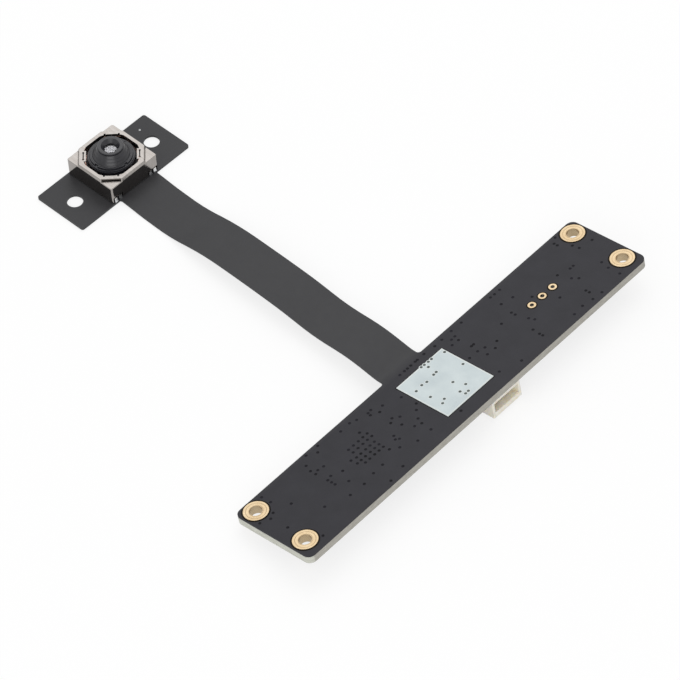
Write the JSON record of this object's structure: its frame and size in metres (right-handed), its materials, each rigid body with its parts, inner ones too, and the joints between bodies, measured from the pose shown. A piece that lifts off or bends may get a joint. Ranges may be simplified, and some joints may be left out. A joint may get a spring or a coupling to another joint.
{
  "type": "camera module",
  "caption": "Autofocus camera module: a square lens head on a two-hole tab, joined by a flat printed ribbon to a long narrow control board with plated mounting holes.",
  "frame": {"origin": "where the lens axis meets the flat underside of the head's tab", "axes": "+Z looks out of the lens, +X runs from the head along the ribbon to the board, +Y runs along the board"},
  "size_m": [0.0715, 0.0642, 0.0054],
  "materials": {
    "cover_film": "satin black cover film",
    "black_laminate": "satin",
    "glass_laminate": "routed glass laminate, black mask below",
    "gold_plate": "gold plate",
    "white_print": "matt print",
    "silicon": "polished",
    "filter_glass": "coated glass",
    "black_resin": "moulded",
    "spring_copper": "etched leaf",
    "nickel_plate": "plated magnet",
    "enamel_copper": "enamelled wire",
    "barrel_resin": "fine satin",
    "lens_glass": "coated",
    "can_nickel": "bright nickel plate",
    "tin_plate": "tinned",
    "solder": "solder",
    "chip_resin": "moulded",
    "crystal_lid": "drawn lid",
    "ferrite": "ferrite",
    "ceramic_tan": "ceramic",
    "resistor_black": "glazed",
    "ivory_nylon": "moulded nylon",
    "contact_tin": "plated contact"
  },
  "bodies": {
    "module": {"flex_circuit": "cover_film", "back_stiffener": "black_laminate", "main_board": "glass_laminate", "mounting_rings": "gold_plate", "test_pads": "gold_plate", "label_patch": "white_print", "image_sensor": "silicon", "ir_filter": "filter_glass", "actuator_base": "black_resin", "lower_spring": "spring_copper", "upper_spring": "spring_copper", "spring_clamp": "black_resin", "corner_magnets": "nickel_plate", "shield_can": "can_nickel", "actuator_terminals": "tin_plate", "terminal_solder": "solder", "bridge_chip": "chip_resin", "bridge_pads": "solder", "flash_chip": "chip_resin", "flash_leads": "tin_plate", "regulators": "chip_resin", "regulator_leads": "tin_plate", "crystal": "crystal_lid", "power_inductor": "ferrite", "package_pads": "solder", "chip_capacitors": "ceramic_tan", "chip_resistors": "resistor_black", "chip_terminals": "solder", "connector_housing": "ivory_nylon", "connector_contacts": "contact_tin", "connector_tabs": "tin_plate"},
    "lens_group": {"lens_carrier": "black_resin", "voice_coil": "enamel_copper", "lens_barrel": "barrel_resin", "front_lens": "lens_glass", "middle_lens": "lens_glass", "rear_lens": "lens_glass", "lens_spacers": "black_resin"}
  },
  "joints": [
    {"name": "focus_slide", "type": "slide", "parent": "module", "child": "lens_group", "axis": [0, 0, 1], "range_m": [0, 0.0003], "stiffness_N_per_m": 40, "springref_m": -0.0002, "deforming": ["upper_spring", "lower_spring"]}
  ]
}
